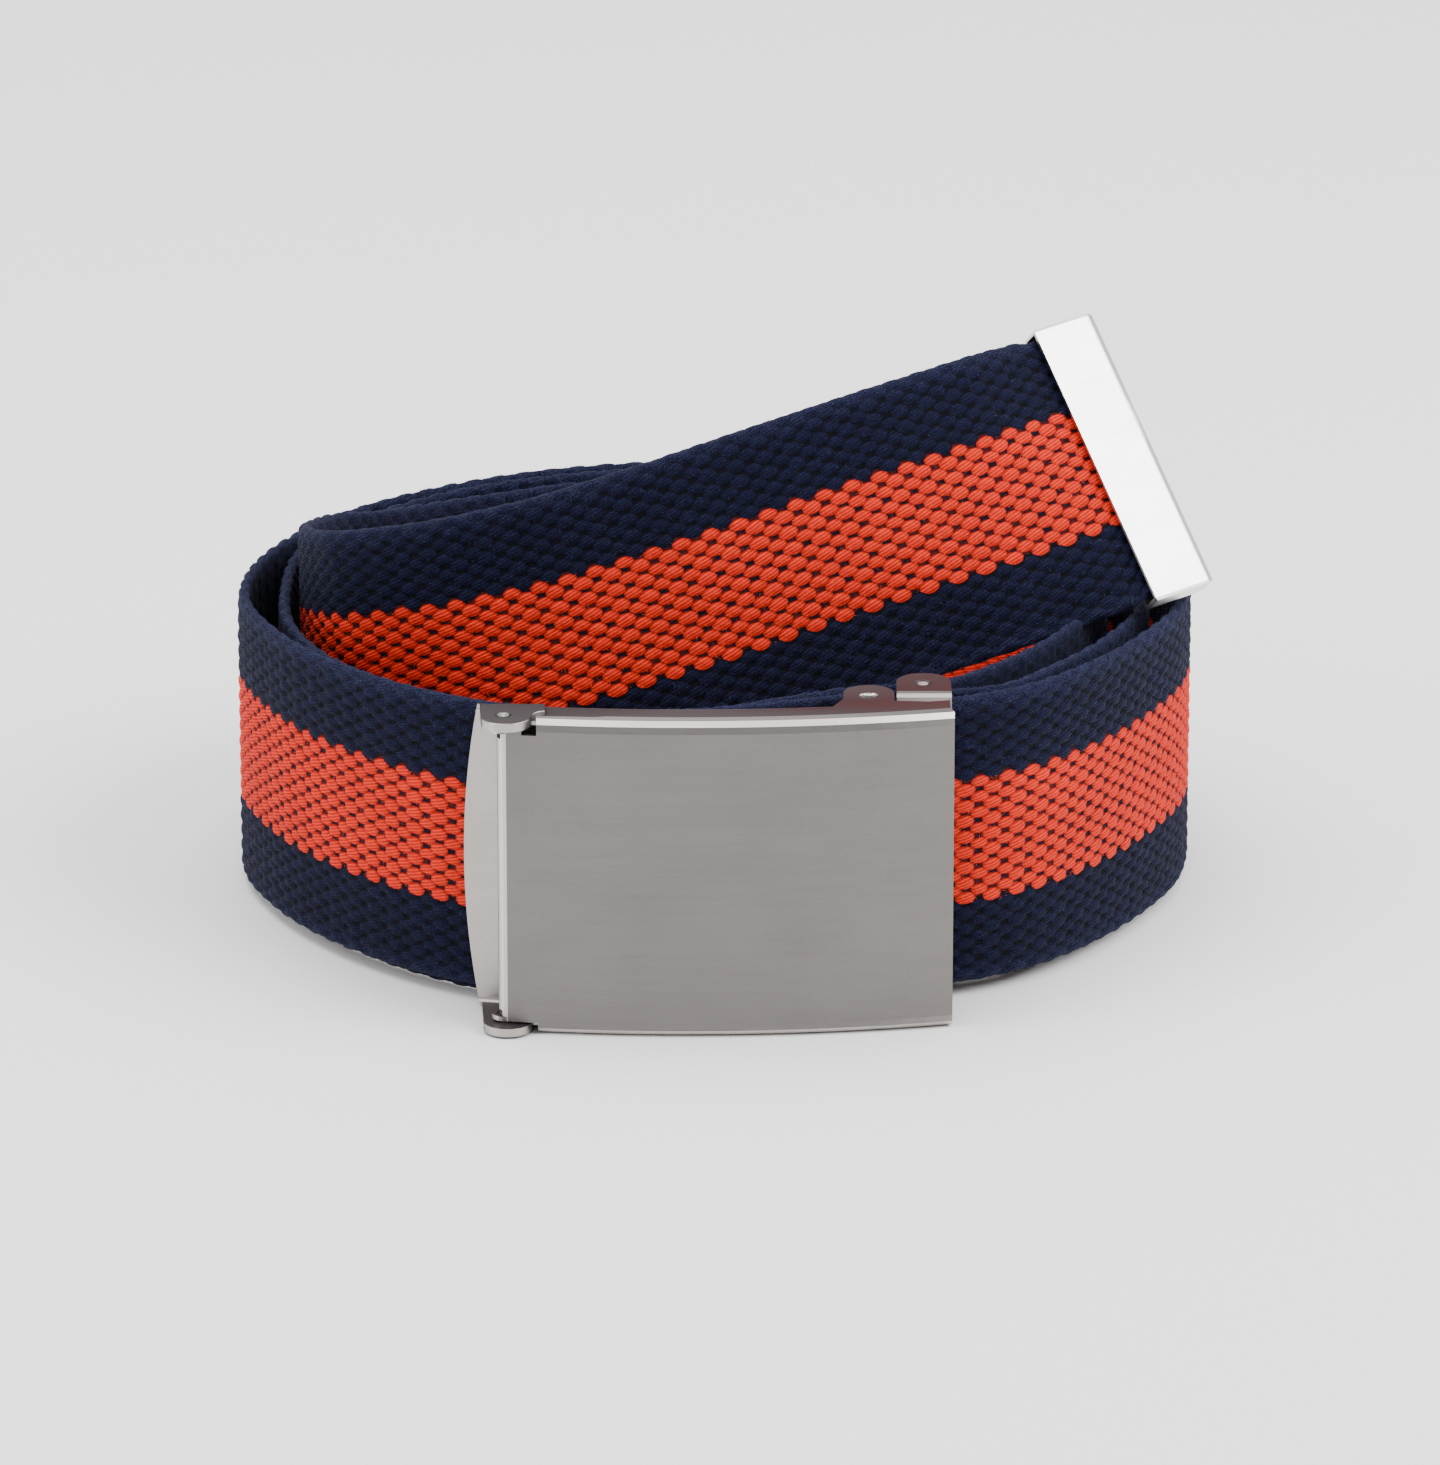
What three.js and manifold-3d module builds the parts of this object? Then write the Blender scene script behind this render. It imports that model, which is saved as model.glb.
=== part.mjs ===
// Webbing belt, stored coiled on its edge, with a flip-lid plate buckle in front and a metal tip on its tail.
// Millimetres, +Z up, and the buckle faces -Y. It is laid out round the coil and, at the end, moved so that
// the origin is on the floor below the middle of its bounding box.

import * as THREE from 'three';
import Module from 'manifold-3d';
import { mergeVertices } from 'three/addons/utils/BufferGeometryUtils.js';

const wasm = await Module();
wasm.setup();

// Webbing
const STRAP_WIDTH = 37.5;
const STRAP_THICKNESS = 1.9;
const STRAP_EDGE_CHAMFER = 0.45;
const STRAP_STEPS = 270;
const COIL_CENTRE = new THREE.Vector2(0.3, 6.0);
// The front of the coil hangs this far above the floor, because the buckle is taller than the webbing.
const FRONT_LIFT = 1.6;
const LIFT_STARTS_AT_Y = 50;
const LIFT_RUN = 95;
// The second turn settles on the floor and is lifted again behind the buckle, over the clamp's lower ear.
const SETTLES_FROM_ANGLE = 300;
const SETTLED_AT_ANGLE = 350;
const LIFTS_FROM_ANGLE = 618;
const LIFTED_AT_ANGLE = 648;

// Buckle: both sheets are bowed round one upright axis, and the lid stands on the floor.
const BOW_RADIUS = 145;
const CREST_X = -4;
const CREST_Y = -56.6;
const BUCKLE_HEIGHT = 40.7;
const LID_SHEET = 0.55;
const LID_BEND = 1.7;
const LID_LEFT_X = -27.0;
const LID_RIGHT_X = 28.4;
const COVER_LEFT_X = -22.2;
const LID_CORNER_RADIUS = 1.6;
const LID_PIVOT_HEIGHT = 37.5;
const LID_NOTCH_TOP = 38.5;
const LID_PIVOT_RIGHT_X = -24.0;
const SNAP_X = 18.1;
const SNAP_Y = -46.6;
const SNAP_RADIUS = 1.2;
const SNAP_EAR_RADIUS = 3.1;
const SNAP_EAR_REACH_Y = -42.4;

const FRAME_HEIGHT = 39.1;
const FRAME_DEPTH = 8.1;
const FRAME_BACK_SHEET = 0.8;
const FRAME_WALL_SHEET = 0.5;
const FRAME_BEND = 1.1;
const FRAME_FRONT_GAP = 1.6;
const FRAME_LEFT_X = -31.3;
const FRAME_CORNER_X = -29.3;
const FRAME_BACK_RIGHT_X = 20.5;
const FRAME_RIGHT_X = 28.0;
const EAR_X = -25.9;
const EAR_Y = -53.9;
const EAR_RADIUS = 3.0;
const EAR_REAR_Y = -49.0;
const EAR_FLARE_X = -21.2;
const EAR_THICKNESS = 1.05;
const EAR_HEIGHT = 40.3;

// Hinge pins of the lid: a short stud in each ear
const PIN_X = -26.2;
const PIN_Y = -53.25;
const PIN_RADIUS = 0.75;
const PIN_CLEARANCE = 0.3;
const PIN_LENGTH = 2.0;

// Cam: the toothed edge of the lid that bites on the webbing
const PIVOT_LUG_RADIUS = 1.65;
const CAM_TIP_Y = -47.95;
const CAM_TEETH = 24;
const CAM_TOOTH_DEPTH = 0.45;

// End clamp that holds the fixed end of the webbing
const CLAMP_LEFT_X = 21.55;
const CLAMP_RIGHT_X = 28.25;
const CLAMP_FRONT_Y = -44.0;
const CLAMP_REAR_Y = -35.9;
const CLAMP_SHEET = 0.55;
const CLAMP_BEND = 1.05;
const CLAMP_HEIGHT = 39.5;
const CLAMP_HOLE_RADIUS = 1.1;
const JAW_PIN_X = 24.8;
const JAW_PIN_Y = -39.7;
const JAW_PIN_RADIUS = 0.7;
const JAW_SHEET = 0.55;
const JAW_Y = -40.27;
const JAW_TEETH = 18;
const JAW_HEIGHT = 37.8;

// Tip cap
const CAP_LENGTH = 38.2;
const CAP_REACH = 9.2;
const CAP_CORNER = 1.3;
const CAP_THICKNESS = 3.6;
const CAP_SHEET = 0.5;
const CAP_GRIP = 7.1;
// The end of the webbing is squeezed narrower inside the cap.
const STRAP_END_WIDTH = 36.6;
const SQUEEZE_START = 0.4;
const SQUEEZE_END = 2.4;

const MIDDLE_Z = BUCKLE_HEIGHT / 2;
const SHORTEST_EDGE = 0.005;

// Radius of the webbing's outer face round the coil, turn after turn, counterclockwise seen from above.
// Angles are degrees from +X; the first row is the fixed end in the clamp.
const COIL_ROWS = [
  { angle: -66.7, radius: 52.8 },
  { angle: -63.5, radius: 54.2 },
  { angle: -59.8, radius: 56.0 },
  { angle: -50, radius: 57.2 },
  { angle: -38, radius: 57.1 },
  { angle: -22, radius: 57.4 },
  { angle: -6, radius: 59.1 },
  { angle: 14, radius: 60.6 },
  { angle: 38, radius: 60.8 },
  { angle: 64, radius: 59.4 },
  { angle: 90, radius: 58.3 },
  { angle: 115, radius: 59.0 },
  { angle: 140, radius: 60.2 },
  { angle: 162, radius: 61.1 },
  { angle: 182, radius: 61.6 },
  { angle: 199, radius: 60.0 },
  { angle: 215, radius: 58.8 },
  { angle: 231, radius: 58.2 },
  { angle: 244, radius: 57.3 },
  { angle: 257, radius: 55.0 },
  { angle: 270, radius: 52.3 },
  { angle: 282, radius: 50.0 },
  { angle: 290.5, radius: 49.3 },
  { angle: 294.5, radius: 49.9 },
  { angle: 298.6, radius: 51.6 },
  { angle: 302.3, radius: 53.0 },
  { angle: 310, radius: 54.4 },
  { angle: 322, radius: 53.0 },
  { angle: 338, radius: 52.7 },
  { angle: 356, radius: 54.2 },
  { angle: 380, radius: 55.6 },
  { angle: 410, radius: 56.2 },
  { angle: 440, radius: 55.6 },
  { angle: 466, radius: 55.9 },
  { angle: 490, radius: 57.2 },
  { angle: 518, radius: 58.2 },
  { angle: 538, radius: 56.5 },
  { angle: 554, radius: 56.7 },
  { angle: 568, radius: 56.6 },
  { angle: 584, radius: 56.0 },
  { angle: 600, radius: 55.3 },
  { angle: 613, radius: 53.1 },
  { angle: 628, radius: 49.9 },
  { angle: 641, radius: 47.4 },
  { angle: 650, radius: 46.9 },
  { angle: 656, radius: 47.8 },
  { angle: 664, radius: 49.6 },
  { angle: 674, radius: 48.6 },
  { angle: 688, radius: 47.6 },
  { angle: 708, radius: 48.0 },
  { angle: 732, radius: 50.2 },
  { angle: 760, radius: 52.0 },
  { angle: 790, radius: 51.9 },
  { angle: 820, radius: 51.6 },
  { angle: 845, radius: 52.6 },
];

// Middle of the webbing where the tail leaves the coil, crosses it and climbs onto its rim.
// lean is how far the webbing tips back from upright, in degrees.
const TAIL_ROWS = [
  { x: -46.2, y: 31.6, z: 21.2, lean: 2 },
  { x: -51.3, y: 19.8, z: 24.0, lean: 1 },
  { x: -52.5, y: 5.8, z: 27.0, lean: 1 },
  { x: -46.9, y: -7.3, z: 30.4, lean: 1 },
  { x: -35.4, y: -15.1, z: 34.0, lean: 4 },
  { x: -21.1, y: -17.6, z: 37.7, lean: 10.5 },
  { x: -6.7, y: -16.3, z: 41.7, lean: 16 },
  { x: 7.4, y: -12.9, z: 45.6, lean: 19 },
  { x: 21.3, y: -8.8, z: 49.2, lean: 21.5 },
  { x: 34.4, y: -3.7, z: 52.1, lean: 27 },
  { x: 46.7, y: 3.3, z: 54.2, lean: 37 },
];

const steel = new THREE.MeshStandardMaterial({ color: 0x9a9692, roughness: 0.38, metalness: 1 });
const brightSteel = new THREE.MeshStandardMaterial({ color: 0xd9d9d6, roughness: 0.25, metalness: 1 });
const darkSteel = new THREE.MeshStandardMaterial({ color: 0x6f6c6b, roughness: 0.4, metalness: 1 });
const webbing = new THREE.MeshStandardMaterial({ color: 0x2a2f52, roughness: 0.95, metalness: 0 });

function toSolid(geometry) {
  const bare = geometry.clone();
  bare.deleteAttribute('normal');
  bare.deleteAttribute('uv');
  const merged = mergeVertices(bare, 1e-5);
  return new wasm.Manifold(new wasm.Mesh({
    numProp: 3,
    vertProperties: new Float32Array(merged.attributes.position.array),
    triVerts: new Uint32Array(merged.index.array),
  }));
}

function toGeometry(solid) {
  // Edges shorter than a few microns are merged away.
  const mesh = solid.simplify(SHORTEST_EDGE).getMesh();
  const geometry = new THREE.BufferGeometry();
  geometry.setAttribute('position', new THREE.BufferAttribute(new Float32Array(mesh.vertProperties), 3));
  geometry.setIndex(new THREE.BufferAttribute(new Uint32Array(mesh.triVerts), 1));
  geometry.computeVertexNormals();
  return geometry;
}

function boxSolid(lowX, highX, lowY, highY, lowZ, highZ) {
  const geometry = new THREE.BoxGeometry(highX - lowX, highY - lowY, highZ - lowZ);
  geometry.translate((lowX + highX) / 2, (lowY + highY) / 2, (lowZ + highZ) / 2);
  return toSolid(geometry);
}

function uprightCylinder(x, y, radius, lowZ, highZ, sides = 20) {
  const geometry = new THREE.CylinderGeometry(radius, radius, highZ - lowZ, sides);
  geometry.rotateX(Math.PI / 2);
  geometry.translate(x, y, (lowZ + highZ) / 2);
  return toSolid(geometry);
}

// An outline in plan made into an upright block, with its top and bottom edges rounded by bend.
function planBlock(shape, lowZ, highZ, bend = 0, curveSegments = 24) {
  const geometry = new THREE.ExtrudeGeometry(shape, {
    depth: highZ - lowZ - 2 * bend,
    bevelEnabled: bend > 0,
    bevelThickness: bend,
    bevelSize: bend,
    bevelOffset: -bend,
    bevelSegments: 3,
    curveSegments,
  });
  geometry.translate(0, 0, lowZ + bend);
  return toSolid(geometry);
}

// Y of the bowed surface that lies depth behind the face of the lid.
function bowY(x, depth) {
  const radius = BOW_RADIUS - depth;
  return CREST_Y + BOW_RADIUS - Math.sqrt(radius * radius - (x - CREST_X) ** 2);
}

// Plan of the band between two bowed surfaces, from x = left to x = right.
function bowBand(left, right, frontDepth, rearDepth) {
  const shape = new THREE.Shape();
  const steps = 22;
  for (let i = 0; i <= steps; i++) {
    const x = left + (right - left) * i / steps;
    if (i === 0) shape.moveTo(x, bowY(x, frontDepth));
    else shape.lineTo(x, bowY(x, frontDepth));
  }
  for (let i = steps; i >= 0; i--) {
    const x = left + (right - left) * i / steps;
    shape.lineTo(x, bowY(x, rearDepth));
  }
  return shape;
}

function lidRearOutline() {
  // Rear edge of the top and bottom flanges: narrow on the left, then an S up to the snap ear.
  const earLeft = SNAP_X - SNAP_EAR_RADIUS;
  const earRight = SNAP_X + SNAP_EAR_RADIUS;
  const earY = SNAP_EAR_REACH_Y - SNAP_EAR_RADIUS;
  const shape = new THREE.Shape();
  shape.moveTo(COVER_LEFT_X, bowY(COVER_LEFT_X, 1.3));
  shape.lineTo(-15, bowY(-15, 1.5));
  shape.lineTo(-6, bowY(-6, 2.7));
  shape.lineTo(2, bowY(2, 3.4));
  shape.lineTo(10.8, bowY(10.8, 3.5));
  shape.quadraticCurveTo(13.0, bowY(13.0, 3.6), 13.8, bowY(13.8, 5.0));
  shape.quadraticCurveTo(14.3, bowY(14.3, 6.0), earLeft, -47.6);
  shape.lineTo(earLeft, earY);
  shape.absarc(SNAP_X, earY, SNAP_EAR_RADIUS, Math.PI, 0, true);
  shape.lineTo(earRight, bowY(earRight, 5.8));
  shape.lineTo(25, bowY(25, 4.8));
  shape.quadraticCurveTo(27.5, bowY(27.5, 3.1), LID_RIGHT_X, bowY(LID_RIGHT_X, 0.8));
  shape.lineTo(LID_RIGHT_X, CREST_Y - 4);
  shape.lineTo(COVER_LEFT_X, CREST_Y - 4);
  return shape;
}

// Plan of the lid's left end: the bowed sheet turns back through a rounded corner to the cam's edge.
// inset moves the outline inwards by a sheet thickness.
function lidEndSide(inset, rightX) {
  const left = LID_LEFT_X + inset;
  const turn = LID_LEFT_X + LID_CORNER_RADIUS;
  const radius = LID_CORNER_RADIUS - inset;
  const front = bowY(turn, inset);
  const points = [];
  for (let i = 0; i <= 6; i++) {
    const x = rightX + (turn - rightX) * i / 6;
    points.push(new THREE.Vector2(x, bowY(x, inset)));
  }
  for (let i = 1; i <= 5; i++) {
    const angle = Math.PI / 2 * i / 5;
    points.push(new THREE.Vector2(turn - radius * Math.sin(angle), front + radius * (1 - Math.cos(angle))));
  }
  points.push(new THREE.Vector2(left, CAM_TIP_Y));
  return points;
}

function sawCutter(low, high) {
  // What lies between and beyond the teeth of the cam, as an outline in Y and Z.
  const shape = new THREE.Shape();
  const pitch = (high - low) / CAM_TEETH;
  shape.moveTo(CAM_TIP_Y + 1, low - 1);
  shape.lineTo(CAM_TIP_Y - CAM_TOOTH_DEPTH, low - 1);
  for (let i = 0; i < CAM_TEETH; i++) {
    shape.lineTo(CAM_TIP_Y - CAM_TOOTH_DEPTH, low + i * pitch);
    shape.lineTo(CAM_TIP_Y - 0.02, low + (i + 0.5) * pitch);
  }
  shape.lineTo(CAM_TIP_Y - CAM_TOOTH_DEPTH, high + 1);
  shape.lineTo(CAM_TIP_Y + 1, high + 1);
  const geometry = new THREE.ExtrudeGeometry(shape, { depth: 6, bevelEnabled: false });
  geometry.applyMatrix4(new THREE.Matrix4().set(
    0, 0, 1, LID_LEFT_X - 2,
    1, 0, 0, 0,
    0, 1, 0, 0,
    0, 0, 0, 1,
  ));
  return toSolid(geometry);
}

function buildLidEnd() {
  const low = MIDDLE_Z - LID_PIVOT_HEIGHT / 2;
  const high = MIDDLE_Z + LID_PIVOT_HEIGHT / 2;
  const camLow = low + 1.3;
  const camHigh = high - 1.3;
  // Bent sheet, from the wide part of the cover round to the cam's edge.
  const right = COVER_LEFT_X + 0.4;
  const outline = [...lidEndSide(0, right), ...lidEndSide(LID_SHEET, right).reverse()];
  let end = planBlock(new THREE.Shape(outline), low, high);
  // Next to the cover its top is notched a little lower, and the cam is shorter than the sheet.
  end = end.subtract(boxSolid(LID_PIVOT_RIGHT_X, right + 1, -58, -50, LID_NOTCH_TOP, high + 1));
  for (const [bottom, top] of [[low - 1, camLow], [camHigh, high + 1]]) {
    end = end.subtract(boxSolid(LID_LEFT_X - 1, PIN_X + 0.4, PIN_Y - 1.25, -40, bottom, top));
  }
  end = end.subtract(sawCutter(camLow, camHigh));

  // Pivot flanges, each with a lug round its pin.
  const inside = [
    ...lidEndSide(LID_SHEET / 2, LID_PIVOT_RIGHT_X - 0.1),
    new THREE.Vector2(LID_PIVOT_RIGHT_X - 0.1, CAM_TIP_Y),
  ];
  const ledge = bowBand(LID_LEFT_X - 1, LID_PIVOT_RIGHT_X + 1, -1, 2.0);
  for (const bottom of [low, high - LID_SHEET]) {
    const top = bottom + LID_SHEET;
    const flange = planBlock(new THREE.Shape(inside), bottom, top).intersect(planBlock(ledge, low - 1, high + 1));
    end = end.add(flange).add(uprightCylinder(PIN_X, PIN_Y, PIVOT_LUG_RADIUS, bottom, top, 24));
    end = end.subtract(uprightCylinder(PIN_X, PIN_Y, PIN_RADIUS + PIN_CLEARANCE, bottom - 0.2, top + 0.2));
  }
  return end;
}

function buildLid() {
  const high = BUCKLE_HEIGHT;
  const overrun = 5;
  // Main cover: a bowed sheet with rounded long edges and the two flanges.
  const outer = planBlock(
    bowBand(COVER_LEFT_X - overrun, LID_RIGHT_X + overrun, 0, 18), 0, high, LID_BEND);
  const inner = planBlock(
    bowBand(COVER_LEFT_X - 2 * overrun, LID_RIGHT_X + 2 * overrun, LID_SHEET, 20),
    LID_SHEET, high - LID_SHEET, LID_BEND - LID_SHEET);
  const cover = outer.subtract(inner).intersect(planBlock(lidRearOutline(), -1, high + 1));

  // Snap dimples pressed into the ears.
  let lid = cover.add(buildLidEnd());
  for (const side of [-1, 1]) {
    const sphere = new THREE.SphereGeometry(SNAP_RADIUS, 16, 8);
    sphere.scale(1, 1, 0.3);
    sphere.translate(SNAP_X, SNAP_Y, MIDDLE_Z + side * BUCKLE_HEIGHT / 2);
    lid = lid.subtract(toSolid(sphere));
  }
  return lid;
}

function frameWallOutline(rearDepth) {
  // Plan of the top and bottom walls, from the hinge ears to the right end.
  const shape = new THREE.Shape();
  shape.moveTo(FRAME_CORNER_X, bowY(FRAME_CORNER_X, rearDepth));
  shape.lineTo(EAR_X - EAR_RADIUS, EAR_Y);
  shape.absarc(EAR_X, EAR_Y, EAR_RADIUS, Math.PI, 2 * Math.PI, false);
  shape.quadraticCurveTo(-22.4, bowY(-22.4, 1.4), -20.4, bowY(-20.4, FRAME_FRONT_GAP));
  const steps = 16;
  for (let i = 1; i <= steps; i++) {
    const x = -20.4 + (FRAME_RIGHT_X + 20.4) * i / steps;
    shape.lineTo(x, bowY(x, FRAME_FRONT_GAP));
  }
  for (let i = steps; i >= 0; i--) {
    const x = FRAME_CORNER_X + (FRAME_RIGHT_X - FRAME_CORNER_X) * i / steps;
    shape.lineTo(x, bowY(x, rearDepth));
  }
  return shape;
}

function backPlateFace() {
  // Face of the back plate in X and Z: its free left edge bulges past the ears.
  const low = MIDDLE_Z - FRAME_HEIGHT / 2 - 1;
  const high = MIDDLE_Z + FRAME_HEIGHT / 2 + 1;
  const shape = new THREE.Shape();
  shape.moveTo(FRAME_CORNER_X, low);
  shape.lineTo(FRAME_RIGHT_X + 4, low);
  shape.lineTo(FRAME_RIGHT_X + 4, high);
  shape.lineTo(FRAME_CORNER_X, high);
  shape.quadraticCurveTo(2 * FRAME_LEFT_X - FRAME_CORNER_X, MIDDLE_Z, FRAME_CORNER_X, low);
  const geometry = new THREE.ExtrudeGeometry(shape, { depth: 40, bevelEnabled: false, curveSegments: 20 });
  geometry.rotateX(Math.PI / 2);
  geometry.translate(0, -30, 0);
  return toSolid(geometry);
}

function buildFrame() {
  const low = MIDDLE_Z - FRAME_HEIGHT / 2;
  const high = MIDDLE_Z + FRAME_HEIGHT / 2;
  const overrun = 5;
  // Tray: the back plate with its long edges bent forwards.
  const outer = planBlock(
    bowBand(FRAME_LEFT_X - overrun, FRAME_RIGHT_X + overrun, -8, FRAME_DEPTH), low, high, FRAME_BEND);
  const inner = planBlock(
    bowBand(FRAME_LEFT_X - 2 * overrun, FRAME_RIGHT_X + 2 * overrun, -10, FRAME_DEPTH - FRAME_BACK_SHEET),
    low + FRAME_WALL_SHEET, high - FRAME_WALL_SHEET, FRAME_BEND - FRAME_WALL_SHEET);
  const shell = outer.subtract(inner);
  const plateBand = planBlock(
    bowBand(FRAME_LEFT_X - overrun, FRAME_BACK_RIGHT_X, FRAME_DEPTH - FRAME_BACK_SHEET - 0.4, FRAME_DEPTH + 1),
    low - 1, high + 1, 0);
  const wallPlan = planBlock(frameWallOutline(FRAME_DEPTH + 0.5), low - 1, high + 1, 0);
  let frame = shell.intersect(plateBand.add(wallPlan)).intersect(backPlateFace().add(wallPlan));

  // Raised hinge ears, outside the lid's pivot flanges.
  const ear = new THREE.Shape();
  ear.moveTo(FRAME_CORNER_X + 0.3, EAR_REAR_Y);
  ear.lineTo(EAR_X - EAR_RADIUS, EAR_Y);
  ear.absarc(EAR_X, EAR_Y, EAR_RADIUS, Math.PI, 2 * Math.PI, false);
  ear.quadraticCurveTo(EAR_X + EAR_RADIUS + 0.2, -52.2, EAR_FLARE_X, -51.7);
  ear.lineTo(EAR_FLARE_X, EAR_REAR_Y);
  const earLow = MIDDLE_Z - EAR_HEIGHT / 2;
  const earHigh = MIDDLE_Z + EAR_HEIGHT / 2;
  frame = frame.add(planBlock(ear, earHigh - EAR_THICKNESS, earHigh, 0.15));
  frame = frame.add(planBlock(ear, earLow, earLow + EAR_THICKNESS, 0.15));

  // End clamp: a channel that opens to the rear round the fixed end of the webbing.
  const clampLow = MIDDLE_Z - CLAMP_HEIGHT / 2;
  const clampHigh = MIDDLE_Z + CLAMP_HEIGHT / 2;
  const clampBox = new THREE.Shape();
  clampBox.moveTo(CLAMP_LEFT_X - 6, CLAMP_FRONT_Y);
  clampBox.lineTo(CLAMP_RIGHT_X + 6, CLAMP_FRONT_Y);
  clampBox.lineTo(CLAMP_RIGHT_X + 6, CLAMP_REAR_Y + 8);
  clampBox.lineTo(CLAMP_LEFT_X - 6, CLAMP_REAR_Y + 8);
  const clampOuter = planBlock(clampBox, clampLow, clampHigh, CLAMP_BEND);
  const clampInner = boxSolid(
    CLAMP_LEFT_X - 9, CLAMP_RIGHT_X + 9, CLAMP_FRONT_Y + CLAMP_SHEET, CLAMP_REAR_Y + 12,
    clampLow + CLAMP_SHEET, clampHigh - CLAMP_SHEET);
  const clampPlan = new THREE.Shape();
  const clampMiddle = (CLAMP_LEFT_X + CLAMP_RIGHT_X) / 2;
  clampPlan.moveTo(CLAMP_LEFT_X, CLAMP_FRONT_Y - 1);
  clampPlan.lineTo(CLAMP_RIGHT_X, CLAMP_FRONT_Y - 1);
  clampPlan.lineTo(CLAMP_RIGHT_X, CLAMP_REAR_Y - 3.2);
  clampPlan.quadraticCurveTo(CLAMP_RIGHT_X - 0.6, CLAMP_REAR_Y, clampMiddle, CLAMP_REAR_Y);
  clampPlan.quadraticCurveTo(CLAMP_LEFT_X + 0.6, CLAMP_REAR_Y, CLAMP_LEFT_X, CLAMP_REAR_Y - 3.2);
  const clamp = clampOuter.subtract(clampInner).intersect(planBlock(clampPlan, -1, BUCKLE_HEIGHT + 1, 0, 8));
  frame = frame.add(clamp);

  // The web that steps back from the tray to the clamp.
  const web = new THREE.Shape();
  web.moveTo(19.0, bowY(19.0, FRAME_DEPTH - 0.75));
  web.lineTo(20.4, bowY(20.4, FRAME_DEPTH - 0.7));
  web.lineTo(CLAMP_LEFT_X + 0.5, CLAMP_FRONT_Y + 0.03);
  web.lineTo(CLAMP_LEFT_X + 0.7, CLAMP_FRONT_Y + CLAMP_SHEET - 0.03);
  web.lineTo(CLAMP_LEFT_X - 0.2, CLAMP_FRONT_Y + 0.4);
  web.lineTo(19.8, bowY(19.8, FRAME_DEPTH - 0.05));
  web.lineTo(19.0, bowY(19.0, FRAME_DEPTH - 0.05));
  frame = frame.add(planBlock(web, MIDDLE_Z - 17.5, MIDDLE_Z + 17.5));

  // Holes for the hinge pins and the pins of the jaw
  for (const low of [-1, earHigh - EAR_THICKNESS - 0.4]) {
    frame = frame.subtract(uprightCylinder(PIN_X, PIN_Y, PIN_RADIUS + PIN_CLEARANCE, low, low + 3));
  }
  for (const low of [-1, clampHigh - 1]) {
    frame = frame.subtract(uprightCylinder(JAW_PIN_X, JAW_PIN_Y, CLAMP_HOLE_RADIUS, low, low + 3));
  }
  return frame;
}

function buildJaw() {
  // Toothed bar behind the webbing's end, with a round pin at each end in the holes of the clamp.
  const low = MIDDLE_Z - JAW_HEIGHT / 2;
  const high = MIDDLE_Z + JAW_HEIGHT / 2;
  const left = CLAMP_LEFT_X + 0.9;
  const right = CLAMP_RIGHT_X - 0.6;
  const teeth = new THREE.Shape();
  const pitch = (high - low) / JAW_TEETH;
  teeth.moveTo(left, low);
  for (let i = 0; i < JAW_TEETH; i++) {
    teeth.lineTo(right - 0.35, low + i * pitch);
    teeth.lineTo(right, low + (i + 0.5) * pitch);
  }
  teeth.lineTo(right - 0.35, high);
  teeth.lineTo(left, high);
  const geometry = new THREE.ExtrudeGeometry(teeth, { depth: JAW_SHEET, bevelEnabled: false });
  geometry.rotateX(Math.PI / 2);
  geometry.translate(0, JAW_Y + JAW_SHEET, 0);
  let jaw = toSolid(geometry);
  const pinStart = 0.2;
  const pinEnd = 0.75;
  for (const [tongueLow, pinLow] of [[low - pinStart, low - pinEnd], [high - 0.1, high + pinStart]]) {
    jaw = jaw.add(boxSolid(
      JAW_PIN_X - 0.6, JAW_PIN_X + 0.6, JAW_Y, JAW_Y + JAW_SHEET, tongueLow, tongueLow + pinStart + 0.1));
    jaw = jaw.add(uprightCylinder(
      JAW_PIN_X, JAW_PIN_Y, JAW_PIN_RADIUS, pinLow - 0.01, pinLow + pinEnd - pinStart + 0.01));
  }
  return jaw;
}

function strapStations() {
  const stations = COIL_ROWS.map(({ angle, radius }) => {
    const turn = THREE.MathUtils.degToRad(angle);
    const middle = radius - STRAP_THICKNESS / 2;
    const x = COIL_CENTRE.x + middle * Math.cos(turn);
    const y = COIL_CENTRE.y + middle * Math.sin(turn);
    const before = THREE.MathUtils.clamp((SETTLED_AT_ANGLE - angle) / (SETTLED_AT_ANGLE - SETTLES_FROM_ANGLE), 0, 1);
    const after = THREE.MathUtils.clamp((angle - LIFTS_FROM_ANGLE) / (LIFTED_AT_ANGLE - LIFTS_FROM_ANGLE), 0, 1);
    const front = THREE.MathUtils.clamp((LIFT_STARTS_AT_Y - y) / LIFT_RUN, 0, 1);
    const lift = FRONT_LIFT * front * Math.max(before, after);
    return { point: new THREE.Vector3(x, y, STRAP_WIDTH / 2 + lift), lean: 0 };
  });
  for (const { x, y, z, lean } of TAIL_ROWS) {
    stations.push({ point: new THREE.Vector3(x, y, z), lean: THREE.MathUtils.degToRad(lean) });
  }
  // The last stretch is straight inside the tip cap.
  const last = stations[stations.length - 1];
  const heading = last.point.clone().sub(stations[stations.length - 2].point).normalize();
  for (const reach of [CAP_GRIP / 2, CAP_GRIP]) {
    stations.push({ point: last.point.clone().addScaledVector(heading, reach), lean: last.lean });
  }
  return stations;
}

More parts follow.
